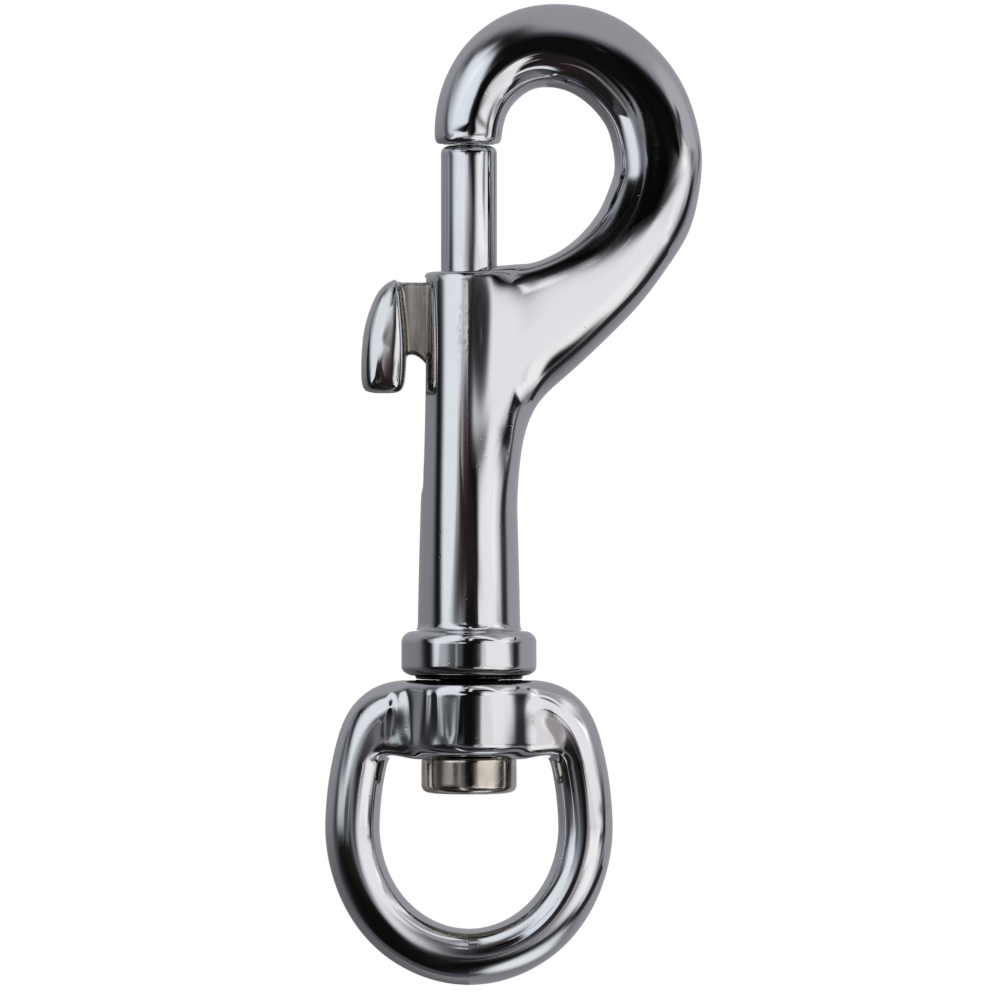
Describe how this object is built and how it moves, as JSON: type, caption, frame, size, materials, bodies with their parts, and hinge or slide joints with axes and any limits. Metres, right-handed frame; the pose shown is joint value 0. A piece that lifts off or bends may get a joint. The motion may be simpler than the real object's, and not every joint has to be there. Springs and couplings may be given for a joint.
{
  "type": "swivel-eye bolt snap",
  "caption": "Plated cast hook closed by a spring-loaded sliding plunger with a thumb knob; a round D-shaped eye swivels freely on a headed stud at the barrel's foot.",
  "frame": {"origin": "lowest inside point of the D-shaped eye, on the swivel axis, where a rope or ring bears", "axes": "+Z along the barrel and swivel axis towards the hook, +X to the side the hook bulges to, away from the thumb knob, +Y across the flat of the snap"},
  "size_m": [0.0384, 0.0138, 0.1],
  "materials": {
    "body_chrome": "polished",
    "pin_chrome": "polished",
    "trigger_chrome": "polished knob, dull neck",
    "spring_steel": "drawn wire",
    "stud_nickel": "satin nickel",
    "eye_chrome": "polished"
  },
  "bodies": {
    "body": {"hook_body": "body_chrome", "swivel_stud": "stud_nickel", "bolt_spring": "spring_steel"},
    "plunger": {"bolt_pin": "pin_chrome", "thumb_trigger": "trigger_chrome"},
    "eye": {"swivel_eye": "eye_chrome"}
  },
  "joints": [
    {"name": "bolt_slide", "type": "slide", "parent": "body", "child": "plunger", "axis": [0, 0, -1], "range_m": [0, 0.0125], "stiffness_N_per_m": 350, "springref_m": -0.006, "deforming": ["bolt_spring"]},
    {"name": "eye_swivel", "type": "hinge", "parent": "body", "child": "eye", "pos_m": [0, 0, 0.0177], "axis": [0, 0, 1], "continuous": true}
  ]
}
